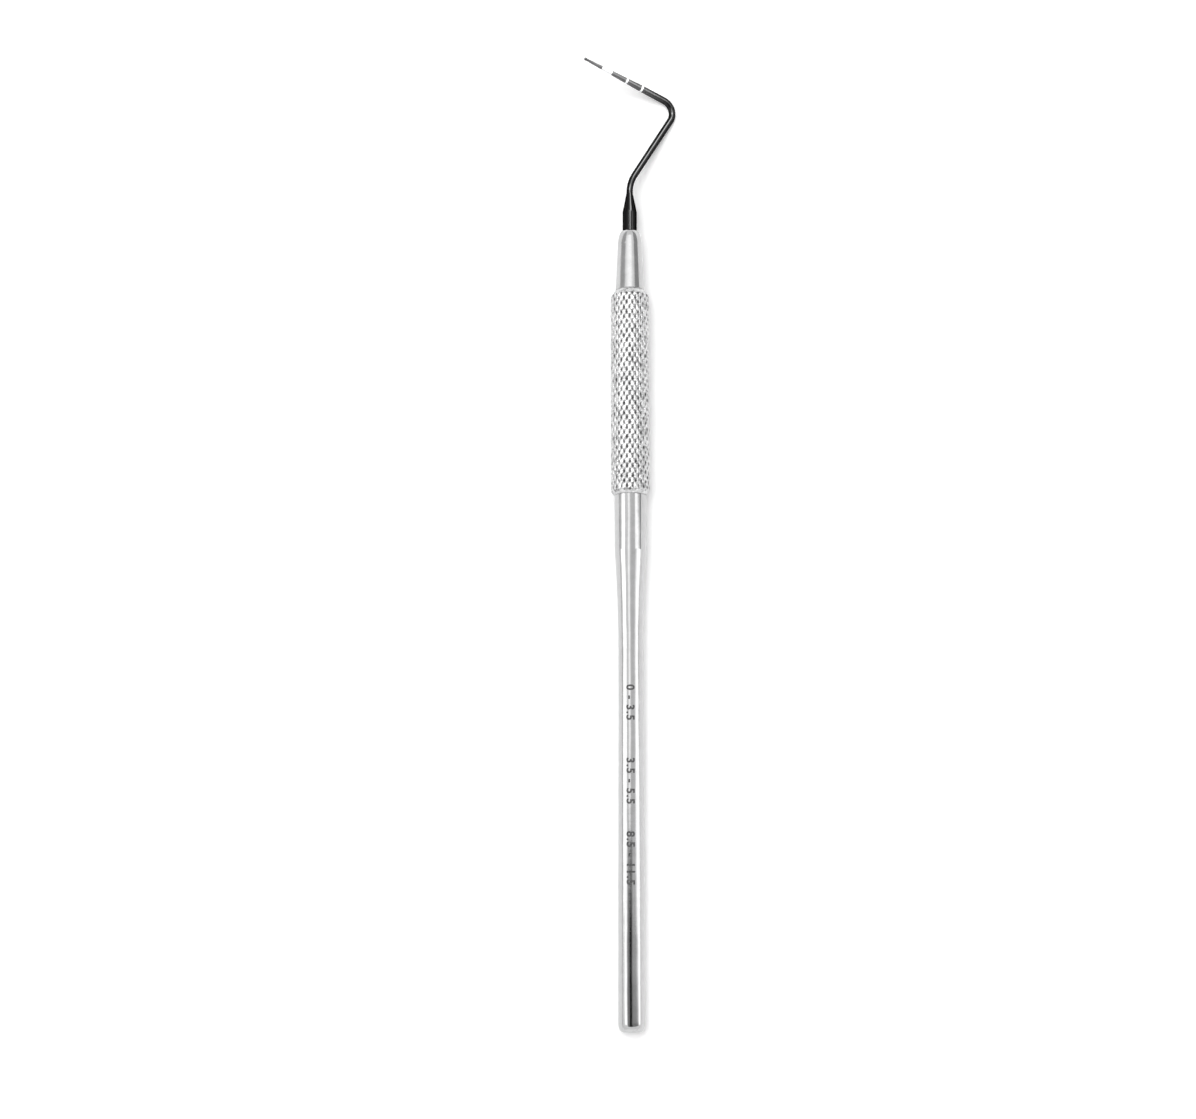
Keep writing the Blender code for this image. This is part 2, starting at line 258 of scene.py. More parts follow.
def remapped(tree, value, low, high, to_low=0.0, to_high=1.0, curve="LINEAR"):
    """Result of a Map Range node."""
    made = tree.nodes.new("ShaderNodeMapRange")
    made.interpolation_type = curve
    for name, number in (
        ("Value", value), ("From Min", low), ("From Max", high), ("To Min", to_low), ("To Max", to_high)
    ):
        join(tree, number, made.inputs[name])
    return made.outputs["Result"]


class Shader:
    """A node material with a Principled shader, and short calls for the nodes behind it."""

    def __init__(self, name):
        self.material = bpy.data.materials.new(name)
        self.material.use_nodes = True
        self.tree = self.material.node_tree
        self.principled = self.tree.nodes["Principled BSDF"]

    def node(self, kind, settings=None, **inputs):
        made = self.tree.nodes.new(kind)
        for key, value in (settings or {}).items():
            setattr(made, key, value)
        for key, value in inputs.items():
            join(self.tree, value, made.inputs[key])
        return made

    def set(self, name, value):
        join(self.tree, value, self.principled.inputs[name])

    def attribute(self, name):
        return self.node("ShaderNodeAttribute", {"attribute_name": name}).outputs["Fac"]

    def noise(self, scale, detail=2.0, roughness=0.5, stretch=(1.0, 1.0, 1.0)):
        """Noise in the handle's frame whose grains are 1 / scale metres across, over stretch."""
        place = self.node("ShaderNodeAttribute", {"attribute_name": "handle_place"}).outputs["Vector"]
        stretched = self.node("ShaderNodeMapping", Vector=place, Scale=stretch).outputs["Vector"]
        made = self.node(
            "ShaderNodeTexNoise", Vector=stretched, Scale=scale, Detail=detail, Roughness=roughness
        )
        return made.outputs["Fac"]

    def remap(self, value, *numbers):
        return remapped(self.tree, value, *numbers)

    def compute(self, operation, *values):
        return computed(self.tree, operation, *values)

    def ramp(self, value, *stops):
        """Colour ramp through (position, colour) stops."""
        made = self.node("ShaderNodeValToRGB", Fac=value)
        elements = made.color_ramp.elements
        while len(elements) < len(stops):
            elements.new(1.0)
        for element, (position, colour) in zip(elements, stops):
            element.position = position
            element.color = (*colour, 1.0)
        return made.outputs["Color"]

    def bump(self, height, strength, distance, normal=None):
        inputs = {"Height": height, "Strength": strength, "Distance": distance}
        if normal is not None:
            inputs["Normal"] = normal
        return self.node("ShaderNodeBump", **inputs).outputs["Normal"]


def grey(level):
    """A hardly bluish grey."""
    return (level, level, level * 1.005)


def greys(*stops):
    """Colour stops of a ramp, from (position, grey level) stops."""
    return [(position, grey(level)) for position, level in stops]


def polished_steel():
    """Turned and buffed steel: faint rings round the handle, and a slightly uneven polish."""
    made = Shader("polished_steel")
    made.set("Metallic", 1.0)
    rings = made.noise(900.0, detail=3.0, stretch=(0.4, 0.4, 14.0))
    haze = made.noise(700.0, detail=4.0, roughness=0.6)
    waves = made.noise(220.0, detail=1.0, stretch=(1.0, 1.0, 0.5))
    dents = made.noise(420.0, detail=1.0)
    made.set("Base Color", made.ramp(haze, *greys((0.3, 0.54), (0.7, 0.6))))
    made.set("Roughness", made.remap(rings, 0.3, 0.7, 0.08, 0.14))
    wavy = made.bump(waves, 0.6, 0.16 * MM)
    dented = made.bump(dents, 0.3, 0.03 * MM, wavy)
    made.set("Normal", made.bump(rings, 0.06, 0.01 * MM, dented))
    return made.material


def knurled_steel():
    """Knurled steel: bright lands and walls, and painted shade darkening the pits where the grooves cross.
    """
    made = Shader("knurled_steel")
    made.set("Metallic", 1.0)
    burrs = made.noise(3000.0, detail=3.0)
    wear = made.remap(made.noise(1200.0, detail=2.0), 0.3, 0.7, -0.4, 0.3)
    # The land attribute brings the painted shade of the pits; the wear noise shifts the tone at random
    height = made.compute("ADD", made.attribute("land"), wear)
    stops = greys((0.0, 0.08), (0.3, 0.23), (0.7, 0.6), (0.9, 0.68), (1.0, 0.76))
    made.set("Base Color", made.ramp(height, *stops))
    made.set("Roughness", made.remap(height, 0.0, 0.6, 0.4, 0.2))
    made.set("Normal", made.bump(burrs, 0.7, 0.12 * MM))
    return made.material


def black_coating():
    """Hard glossy black coating, greyer and duller where it carries the marks.

    Its stops are shares of COATING_FADE, the distance from the tip.
    """
    made = Shader("black_coating")
    made.set("Metallic", 1.0)
    made.set("Specular Tint", (0.0, 0.0, 0.0, 1.0))
    grain = made.noise(4200.0, detail=3.0)
    worn = made.compute("MULTIPLY_ADD", grain, COATING_WEAR, made.attribute("from_tip"))
    share = made.remap(worn, 0.0, COATING_FADE)
    marked = greys((0.06, 0.08), (0.1, 0.15), (0.24, 0.15), (0.33, 0.08))
    plain = greys((0.4, 0.03), (0.7, 0.03), (0.8, 0.02))
    made.set("Base Color", made.ramp(share, *marked, *plain))
    made.set("Roughness", made.remap(share, 0.3, 0.42, 0.3, 0.13))
    made.set("Normal", made.bump(grain, 0.3, 0.01 * MM))
    return made.material


def ground_steel():
    """Bare steel where the coating is ground off, with a fine matt grind."""
    made = Shader("ground_steel")
    made.set("Metallic", 0.2)
    scratches = made.noise(3000.0, detail=3.0)
    made.set("Base Color", made.ramp(scratches, *greys((0.3, 0.93), (0.7, 0.99))))
    made.set("Roughness", made.remap(scratches, 0.3, 0.7, 0.45, 0.6))
    return made.material


def etched_numbers():
    """Grey oxide of a laser marking."""
    made = Shader("etched_numbers")
    grain = made.noise(6000.0, detail=3.0)
    made.set("Base Color", made.ramp(grain, *greys((0.35, 0.05), (0.65, 0.14))))
    made.set("Roughness", made.remap(grain, 0.3, 0.7, 0.5, 0.7))
    made.set("Metallic", 0.4)
    return made.material


# ---------------------------------------------------------------------------------------------
# Pieces
# ---------------------------------------------------------------------------------------------


def add_piece(name, vertices, faces, materials, station, replaced=None):
    """A smooth shaded mesh at a station of the handle, riding on the instrument.

    Its points are in the row frame. Their places in the handle's frame stay in an attribute.
    """
    own = np.array(vertices, dtype=float) + (0.0, 0.0, station)
    turn = np.array(HANDLE.to_3x3())
    data = bpy.data.meshes.new(name)
    data.from_pydata(own @ turn.T + np.array(HANDLE.translation), [], faces)
    places = data.attributes.new("handle_place", "FLOAT_VECTOR", "POINT")
    places.data.foreach_set("vector", own.ravel())
    for material in materials:
        data.materials.append(material)
    data.shade_smooth()
    data.set_sharp_from_angle(angle=SHARP_ANGLE)
    piece = bpy.data.objects.new(name, data)
    bpy.context.scene.collection.objects.link(piece)
    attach(piece, "root")
    if replaced:
        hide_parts(replaced)
    return piece


def rounded(outline):
    """Round the corners of an outline of (station, radius, rounding) into (station, radius)."""
    points = []
    corners = [Vector(corner[:2]) for corner in outline]
    for index, (station, radius, rounding) in enumerate(outline):
        here = corners[index]
        if not rounding:
            points.append((station, radius))
            continue
        to_last = corners[index - 1] - here
        to_next = corners[(index + 1) % len(corners)] - here
        back, ahead = to_last.normalized(), to_next.normalized()
        half_angle = acos(max(-1.0, min(1.0, back.dot(ahead)))) / 2
        longest = LONGEST_ROUNDING * min(to_last.length, to_next.length)
        reach = min(rounding / tan(half_angle), longest)
        arc_radius = reach * tan(half_angle)
        centre = here + (back + ahead).normalized() * (arc_radius / sin(half_angle))
        first = here + back * reach - centre
        last = here + ahead * reach - centre
        turned_by = first.angle(last)
        for step in range(ROUNDING_STEPS + 1):
            share = step / ROUNDING_STEPS
            mix = (sin((1 - share) * turned_by) * first + sin(share * turned_by) * last) / sin(turned_by)
            points.append(tuple(centre + mix))
    return points


def held(outline):
    """Add points beside the ends of long stretches, so that shading bends only at the ends."""
    points = [outline[0]]
    for start, end in zip(outline, outline[1:]):
        length = sqrt((end[0] - start[0]) ** 2 + (end[1] - start[1]) ** 2)
        if length > 4 * HOLD_LENGTH:
            for along in (HOLD_LENGTH / length, 1 - HOLD_LENGTH / length):
                mixed = [first + (second - first) * along for first, second in zip(start[:2], end[:2])]
                points.append((*mixed, *start[2:]))
        points.append(end)
    return points


def revolve(outline):
    """Vertices and faces of a body of revolution, from an outline that is closed or ends on Z."""
    vertices, faces, rings = [], [], []
    outline = held(outline)
    for station, radius in outline:
        if radius < ON_AXIS:
            rings.append([len(vertices)] * TURNED_SIDES)
            vertices.append((0.0, 0.0, station))
            continue
        rings.append(range(len(vertices), len(vertices) + TURNED_SIDES))
        for side in range(TURNED_SIDES):
            angle = 2 * pi * side / TURNED_SIDES
            vertices.append((radius * cos(angle), radius * sin(angle), station))
    if outline[0][1] > ON_AXIS:
        rings.append(rings[0])
    for ring, following in zip(rings, rings[1:]):
        for side in range(TURNED_SIDES):
            beside = (side + 1) % TURNED_SIDES
            corners = (ring[side], ring[beside], following[beside], following[side])
            face = tuple(dict.fromkeys(corners))
            if len(face) > 2:
                faces.append(face)
    return vertices, faces


def make_tail_plug(material):
    """The rounded cap with its spigot, seated so closely that its seam hardly shows."""
    flat = TAIL_FLAT_DIAMETER / 2
    drop = TAIL_DIAMETER / 2 - flat
    spigot = BARREL_BORE / 2 - FIT_GAP
    end = TAIL_ROUNDING_LENGTH + PLUG_SPIGOT_LENGTH
    outline = [(0.0, 0.0, 0)]
    for step in range(CURVE_STEPS + 1):
        turn = pi / 2 * step / CURVE_STEPS
        outline.append((TAIL_ROUNDING_LENGTH * (1 - cos(turn)), flat + drop * sin(turn), 0))
    rim = BARREL_STATION - CLOSED_SEAM
    outline += [(rim, TAIL_DIAMETER / 2, 0), (rim, spigot, 0), (end, spigot, EDGE_ROUNDING), (end, 0.0, 0)]
    vertices, faces = revolve(rounded(outline))
    add_piece("tail_cap", vertices, faces, [material], 0.0, "tail_plug")


def stem_radius(station):
    """Radius of the barrel's stem at a station of the handle."""
    share = (station - BARREL_STATION) / STEM_LENGTH
    return (TAIL_DIAMETER + (WAIST_DIAMETER - TAIL_DIAMETER) * min(1.0, share)) / 2


def make_barrel(material):
    """The tube with a tapered stem, a waist, a parabolic flare, a collar and a spigot."""
    waist = WAIST_DIAMETER / 2
    flare = COLLAR_REAR_DIAMETER / 2 - waist
    flare_station = STEM_LENGTH + WAIST_LENGTH
    bore = BARREL_BORE / 2
    spigot = GRIP_BORE / 2 - FIT_GAP
    end = BARREL_LENGTH + BARREL_SPIGOT_LENGTH
    outline = [(0.0, TAIL_DIAMETER / 2, 0), (STEM_LENGTH, waist, 0)]
    for step in range(CURVE_STEPS + 1):
        share = step / CURVE_STEPS
        outline.append((flare_station + FLARE_LENGTH * share, waist + flare * share**2, 0))
    outline[-1] = (*outline[-1][:2], COLLAR_ROUNDING)
    outline += [
        (BARREL_LENGTH, COLLAR_FRONT_DIAMETER / 2, SEAM_ROUNDING),
        (BARREL_LENGTH, spigot, 0),
        (end, spigot, EDGE_ROUNDING),
        (end, bore, 0),
        (0.0, bore, 0),
    ]
    vertices, faces = revolve(rounded(outline))
    add_piece("barrel", vertices, faces, [material], BARREL_STATION, "rear_barrel")


def make_nose(material):
    """The cone with an elliptic shoulder, a spigot and a blind bore for the tang."""
    shoulder = NOSE_SHOULDER_DIAMETER / 2
    face = BASE_DIAMETER / 2 + NOSE_EDGE_WIDTH
    spigot = GRIP_BORE / 2 - FIT_GAP
    bore = TANG_DIAMETER / 2 + FIT_GAP
    bore_end = NOSE_LENGTH + BASE_SETBACK - TANG_LENGTH - SEAT_GAP
    outline = [
        (-NOSE_SPIGOT_LENGTH, 0.0, 0),
        (-NOSE_SPIGOT_LENGTH, spigot, EDGE_ROUNDING),
        (0.0, spigot, 0),
        (0.0, NOSE_REAR_DIAMETER / 2, SEAM_ROUNDING),
    ]
    for step in range(CURVE_STEPS + 1):
        turn = pi / 2 * step / CURVE_STEPS
        station = NOSE_CONE_LENGTH + NOSE_SHOULDER_LENGTH * sin(turn)
        outline.append((station, face + (shoulder - face) * cos(turn), 0))
    outline += [(NOSE_LENGTH, bore, 0), (bore_end, bore, 0), (bore_end, 0.0, 0)]
    vertices, faces = revolve(rounded(outline))
    add_piece("nose", vertices, faces, [material], NOSE_STATION, "nose_cone")


def knurl_height(share):
    """Height across a diamond, from 0 in the groove at a share of 0 or 1 to 1 on the land."""
    groove = (1 - KNURL_LAND) / 2 + KNURL_ROUNDING
    return sin(min(min(share, 1 - share) / groove, 1.0) * pi / 2)


def pit_height(share):
    """Height beside a groove's pits, from 0 at a share of 0 or 1 to 1 past their reach."""
    return min(1.0, (min(share, 1 - share) / KNURL_PIT) ** 2)


def knurl_lattice():
    """Points (x, y, z, colour level with painted shade in the pits) and faces of the knurl, longer than the
    grip.

    The lattice's two families of lines run along the grooves. A point is a number of steps along
    each: the sum of the two is its place round the grip, the difference its place along the grip.
    """
    samples = list(KNURL_SAMPLES) + [1 - share for share in reversed(KNURL_SAMPLES[1:-1])]
    per_pitch = len(samples)
    around_steps = KNURL_COUNT * per_pitch
    axial_pitch = pi * GRIP_DIAMETER / KNURL_COUNT / tan(KNURL_ANGLE)
    rear_slope = (GRIP_DIAMETER - COLLAR_FRONT_DIAMETER) / 2 / GRIP_REAR_CHAMFER_LENGTH
    front_slope = (GRIP_DIAMETER - NOSE_REAR_DIAMETER) / 2 / GRIP_FRONT_CHAMFER_LENGTH
    pitches = ceil(GRIP_LENGTH / axial_pitch) + 2
    rows = 2 * pitches * per_pitch
    first_station = (GRIP_LENGTH - pitches * axial_pitch) / 2

    def share_along(step):
        return step // per_pitch + samples[step % per_pitch]

    points, faces = [], []
    for row in range(rows + 1):
        for column in range(around_steps):
            total = 2 * column + row % 2
            rising = share_along((total + row) // 2)
            falling = share_along((total - row) // 2)
            station = first_station + (rising - falling) / 2 * axial_pitch
            angle = pi * (rising + falling) / KNURL_COUNT
            across, beside = knurl_height(rising % 1), knurl_height(falling % 1)
            pit = (1 - pit_height(rising % 1)) * (1 - pit_height(falling % 1))
            groove = 1 - across * beside
            depth = KNURL_PITTING * pit + (1 - KNURL_PITTING) * groove
            radius = GRIP_DIAMETER / 2 - KNURL_DEPTH * depth
            # Colour level: full on the lands, painted shade in the pits where the grooves cross
            pit_shaded_level = KNURL_UNSHADED_LEVEL * (1 - pit)
            chamfer = min(
                COLLAR_FRONT_DIAMETER / 2 + rear_slope * station,
                NOSE_REAR_DIAMETER / 2 + front_slope * (GRIP_LENGTH - station),
            )
            if chamfer < radius:
                radius, pit_shaded_level = chamfer, KNURL_CHAMFER_LEVEL
            points.append((radius * cos(angle), radius * sin(angle), station, pit_shaded_level))
    for row in range(1, rows):
        for column in range(around_steps):
            left = row * around_steps + column
            right = row * around_steps + (column + 1) % around_steps
            shifted = (column + row % 2) % around_steps
            top = (row + 1) * around_steps + shifted
            bottom = (row - 1) * around_steps + shifted
            rising = (2 * column + row % 2 + row) // 2 % per_pitch
            falling = (2 * column + row % 2 - row) // 2 % per_pitch
            if rising == falling:
                faces += [(left, bottom, right), (left, right, top)]
            elif rising + falling == per_pitch - 1:
                faces += [(left, bottom, top), (bottom, right, top)]
            else:
                faces.append((left, bottom, right, top))
    return points, faces


def make_grip(material):
    """The knurled tube, cut to length and given its bore."""
    points, faces = knurl_lattice()
    mesh = bmesh.new()
    # The land attribute carries the knurl's colour level, with painted shade in its pits
    land = mesh.verts.layers.float.new("land")
    corners = [mesh.verts.new(point[:3]) for point in points]
    for corner, point in zip(corners, points):
        corner[land] = point[3]
    for face in faces:
        mesh.faces.new([corners[index] for index in face])
    rims = []
    for station, outward in ((0.0, -1.0), (GRIP_LENGTH, 1.0)):
        bmesh.ops.bisect_plane(
            mesh,
            geom=mesh.verts[:] + mesh.edges[:] + mesh.faces[:],
            plane_co=(0.0, 0.0, station),
            plane_no=(0.0, 0.0, outward),
            clear_outer=True,
        )
    for station in (0.0, GRIP_LENGTH):
        border = [
            edge for edge in mesh.edges
            if edge.is_boundary and all(abs(point.co.z - station) < SEAT_GAP for point in edge.verts)
        ]
        grown = bmesh.ops.extrude_edge_only(mesh, edges=border)["geom"]
        for point in (item for item in grown if isinstance(item, bmesh.types.BMVert)):
            shrink = GRIP_BORE / 2 / point.co.xy.length
            point.co.x *= shrink
            point.co.y *= shrink
        rims += [item for item in grown if isinstance(item, bmesh.types.BMEdge)]
    bmesh.ops.bridge_loops(mesh, edges=rims)
    for point in mesh.verts:
        if point.co.xy.length < GRIP_BORE / 2 + FIT_GAP:
            point[land] = 1.0
    bmesh.ops.recalc_face_normals(mesh, faces=mesh.faces)
    mesh.verts.index_update()
    vertices = [tuple(point.co) for point in mesh.verts]
    heights = [point[land] for point in mesh.verts]
    outlines = [tuple(point.index for point in face.verts) for face in mesh.faces]
    mesh.free()
    piece = add_piece("grip", vertices, outlines, [material], GRIP_STATION, "knurled_grip")
    piece.data.attributes.new("land", "FLOAT", "POINT").data.foreach_set("value", heights)
    return piece


def wire_rings(length, neck_bend, elbow):
    """The working end's (distance, radius, bare) rings, from the tang's end to the ball."""
    tang = TANG_DIAMETER / 2
    base = BASE_DIAMETER / 2
    neck = NECK_DIAMETER / 2
    elbow_radius = ELBOW_DIAMETER / 2
    cone_end = BASE_LENGTH + BASE_CONE_LENGTH
    ball = BALL_DIAMETER / 2
    ball_neck = BALL_NECK_DIAMETER / 2
    ball_centre = length - ball
    neck_end = ball_centre - sqrt(ball**2 - ball_neck**2)
    taper_start = length - LINE_MARKS[-1] - LINE_WIDTH

    def wire_radius(distance):
        stops = (cone_end, elbow[0], taper_start, neck_end)
        return float(np.interp(distance, stops, (neck, elbow_radius, elbow_radius, ball_neck)))

    outline = rounded([
        (-TANG_LENGTH, 0.0, 0),
        (-TANG_LENGTH, tang, EDGE_ROUNDING),
        (-BASE_SETBACK, tang, 0),
        (-BASE_SETBACK, base, SEAM_ROUNDING),
        (BASE_LENGTH, base, BASE_ROUNDING),
        (cone_end, neck, NECK_ROUNDING),
        (neck_bend[0] + SEAT_GAP, neck, 0),
    ])
    rings = [(distance, radius, False) for distance, radius in outline[1:-1]]
    for (start, end), steps in ((neck_bend, NECK_BEND_STEPS), (elbow, ELBOW_STEPS)):
        for step in range(steps + 1):
            distance = start + (end - start) * step / steps
            if distance > rings[-1][0]:
                rings.append((distance, wire_radius(distance), False))
    marks = [BARE_BAND] + [(mark - LINE_WIDTH / 2, mark + LINE_WIDTH / 2) for mark in LINE_MARKS]
    for near, far in sorted(marks, reverse=True):
        for distance, bare in ((length - far, True), (length - near, False)):
            coated = (distance, wire_radius(distance), bare)
            ground = (distance, wire_radius(distance) - MARK_DEPTH, bare)
            rings += [coated, ground] if bare else [ground, coated]
    first_turn = acos((ball_centre - neck_end) / ball)
    for step in range(BALL_STEPS):
        turn = first_turn + (pi - first_turn) * step / BALL_STEPS
        rings.append((ball_centre - ball * cos(turn), ball * sin(turn), False))
    return held(rings)


def make_working_end(coating, ground):
    """The bent wire, swept along its centreline, with the coating ground off at the marks."""
    place, length, neck_bend, elbow = wire_path()
    rings = wire_rings(length, neck_bend, elbow)
    vertices, faces, bare_faces = [], [], []
    for distance, radius, _ in rings:
        x, z, heading = place(distance)
        for side in range(WIRE_SIDES):
            angle = 2 * pi * side / WIRE_SIDES
            across = radius * cos(angle)
            vertices.append((x + across * cos(heading), radius * sin(angle), z - across * sin(heading)))
    for index in range(len(rings) - 1):
        bare = rings[index][2] and rings[index + 1][0] > rings[index][0]
        for side in range(WIRE_SIDES):
            beside = (side + 1) % WIRE_SIDES
            row, following = index * WIRE_SIDES, (index + 1) * WIRE_SIDES
            faces.append((row + side, row + beside, following + beside, following + side))
            bare_faces.append(bare)
    faces.append(tuple(reversed(range(WIRE_SIDES))))
    x, z, _ = place(length)
    tip, last_row = len(vertices), (len(rings) - 1) * WIRE_SIDES
    vertices.append((x, 0.0, z))
    for side in range(WIRE_SIDES):
        faces.append((last_row + side, last_row + (side + 1) % WIRE_SIDES, tip))
    piece = add_piece(
        "coated_wire", vertices, faces, [coating, ground], WORKING_END_STATION,
        "working_end",
    )
    from_tip = [length - distance for distance, _, _ in rings for _ in range(WIRE_SIDES)] + [0.0]
    piece.data.attributes.new("from_tip", "FLOAT", "POINT").data.foreach_set("value", from_tip)
    for polygon, bare in zip(piece.data.polygons, bare_faces):
        polygon.material_index = 1 if bare else 0
    return piece


def flat_words(words):
    """Mesh of a line of text, cut into strips so that its long strokes can bend."""
    curve = bpy.data.curves.new("legend_text", "FONT")
    curve.body = words
    curve.size = LEGEND_FONT_SIZE
    curve.extrude = LEGEND_RELIEF
    curve.offset = LEGEND_STROKE
    curve.space_character = LEGEND_SPACING
    text = bpy.data.objects.new("legend_text", curve)
    bpy.context.scene.collection.objects.link(text)
    bpy.context.view_layer.update()
    data = bpy.data.meshes.new_from_object(text)
    bpy.data.objects.remove(text, do_unlink=True)
    mesh = bmesh.new()
    mesh.from_mesh(data)
    bmesh.ops.remove_doubles(mesh, verts=mesh.verts, dist=SAME_PLACE)
    for step in range(1, LEGEND_STRIPS):
        whole = [*mesh.verts, *mesh.edges, *mesh.faces]
        cut = (0.0, LEGEND_HEIGHT * step / LEGEND_STRIPS, 0.0)
        bmesh.ops.bisect_plane(mesh, geom=whole, plane_co=cut, plane_no=(0.0, 1.0, 0.0))
    mesh.to_mesh(data)
    mesh.free()
    return data


def make_legend(material):
    """Thin numbers wrapped round the top of the stem, read towards the tail."""
    for index, words in enumerate(LEGEND):
        flat = flat_words(words)
        vertices = []
        for vertex in flat.vertices:
            along, up, out = vertex.co
            here = LEGEND_FIRST_STATION - index * LEGEND_PITCH - along
            radius = stem_radius(here)
            angle = TOP_ANGLE + (LEGEND_BASELINE + up) / radius
            vertices.append(((radius + out) * cos(angle), (radius + out) * sin(angle), here))
        faces = [tuple(polygon.vertices) for polygon in flat.polygons]
        name = "legend_" + words.replace(" - ", "_")
        add_piece(name, vertices, faces, [material], 0.0)


# ---------------------------------------------------------------------------------------------
# Floor, light and camera
# ---------------------------------------------------------------------------------------------

CAMERA_LENS = 75.25
CAMERA_SENSOR = 36.0
CAMERA_TILT = radians(10.8)
CAMERA_DISTANCE = 416.25 * MM
CAMERA_TARGET = Vector((-5.509 * MM, -4.555 * MM, 3.0 * MM))

# Floor, in metres. To the camera it glows a little near the object, and rises to white further off
FLOOR_SIZE = 6.0
FLOOR_COLOUR = 0.95
FLOOR_GLOW = 0.18
FLOOR_FADE = (0.13, 0.35)
FLOOR_MIRRORED_GLOW = 0.1

# World: the level that lights, and the levels that are mirrored
AMBIENT = 0.3
HORIZON_SIDES = (0.68, 1.1)
HORIZON_ENDS = 1.2
HORIZON_FADE = (0.35, 0.75)

KEY_DIRECTION = (-0.17, 0.06, 1.0)
KEY_DISTANCE = 0.9
KEY_DIAMETER = 0.7
KEY_POWER = 7.2

CARD_HEIGHT = 415.0 * MM
CARD_SHIFT = -4.6 * MM
GLINT_HEIGHT = 395.0 * MM


def rays(tree):
    """Light Path outputs: 1 for camera rays, and 1 for glossy or transmission rays."""
    path = tree.nodes.new("ShaderNodeLightPath")
    mirrored = computed(tree, "MAXIMUM", path.outputs["Is Glossy Ray"], path.outputs["Is Transmission Ray"])
    return path.outputs["Is Camera Ray"], mirrored


def plane(name, low, high, height):
    """A level rectangle between two corners (x, y), as part of the set."""
    corners = [(low[0], low[1]), (high[0], low[1]), (high[0], high[1]), (low[0], high[1])]
    data = bpy.data.meshes.new(name)
    data.from_pydata([(x, y, height) for x, y in corners], [], [(0, 1, 2, 3)])
    item = bpy.data.objects.new(name, data)
    bpy.context.scene.collection.objects.link(item)
    return item


def make_floor():
    """A pale floor that keeps the object's shadow."""
    half = FLOOR_SIZE / 2
    item = plane("floor", (-half, -half), (half, half), 0.0)
    material = bpy.data.materials.new("pale_floor")
    material.use_nodes = True
    tree = material.node_tree
    tree.nodes.clear()
    diffuse = tree.nodes.new("ShaderNodeBsdfDiffuse")
    diffuse.inputs["Color"].default_value = (FLOOR_COLOUR, FLOOR_COLOUR, FLOOR_COLOUR, 1.0)
    glow = tree.nodes.new("ShaderNodeEmission")
    camera, mirrored = rays(tree)
    dimmer = computed(tree, "MULTIPLY", mirrored, FLOOR_MIRRORED_GLOW)
    length = tree.nodes.new("ShaderNodeVectorMath")
    length.operation = "LENGTH"
    join(tree, tree.nodes.new("ShaderNodeTexCoord").outputs["Object"], length.inputs[0])
    shown = remapped(tree, length.outputs["Value"], *FLOOR_FADE, FLOOR_GLOW, 1.0)
    join(tree, remapped(tree, camera, 0.0, 1.0, dimmer, shown), glow.inputs["Strength"])
    both = tree.nodes.new("ShaderNodeAddShader")
    tree.links.new(diffuse.outputs[0], both.inputs[0])
    tree.links.new(glow.outputs[0], both.inputs[1])
    output = tree.nodes.new("ShaderNodeOutputMaterial")
    tree.links.new(both.outputs[0], output.inputs["Surface"])
    item.data.materials.append(material)


def make_world():
    """White to the camera, and a dimmer ambient light.

    Reflections see a horizon that is brighter on the right than on the left, and brightest towards
    the handle's two ends.
    """
    world = bpy.data.worlds.new("studio")
    world.use_nodes = True
    tree = world.node_tree
    direction = tree.nodes.new("ShaderNodeSeparateXYZ")
    join(tree, tree.nodes.new("ShaderNodeTexCoord").outputs["Generated"], direction.inputs[0])
    side = remapped(tree, direction.outputs["X"], -1.0, 1.0, *HORIZON_SIDES)
    turned = computed(tree, "ABSOLUTE", direction.outputs["Y"])
    horizon = remapped(tree, turned, *HORIZON_FADE, side, HORIZON_ENDS)
    camera, mirrored = rays(tree)
    unseen = remapped(tree, mirrored, 0.0, 1.0, AMBIENT, horizon)
    background = tree.nodes["Background"]
    background.inputs["Color"].default_value = (1.0, 1.0, 1.0, 1.0)
    join(tree, remapped(tree, camera, 0.0, 1.0, unseen, 1.0), background.inputs["Strength"])
    bpy.context.scene.world = world


def make_key_lamp():
    """A round soft lamp that lights the object but isn't mirrored in it."""
    lamp = bpy.data.lights.new("key_lamp", "AREA")
    lamp.shape = "DISK"
    lamp.size = KEY_DIAMETER
    lamp.energy = KEY_POWER
    item = bpy.data.objects.new("key_lamp", lamp)
    bpy.context.scene.collection.objects.link(item)
    towards = Vector(KEY_DIRECTION).normalized()
    item.location = towards * KEY_DISTANCE
    item.rotation_mode = "QUATERNION"
    item.rotation_quaternion = towards.to_track_quat("Z", "Y")
    item.visible_glossy = False


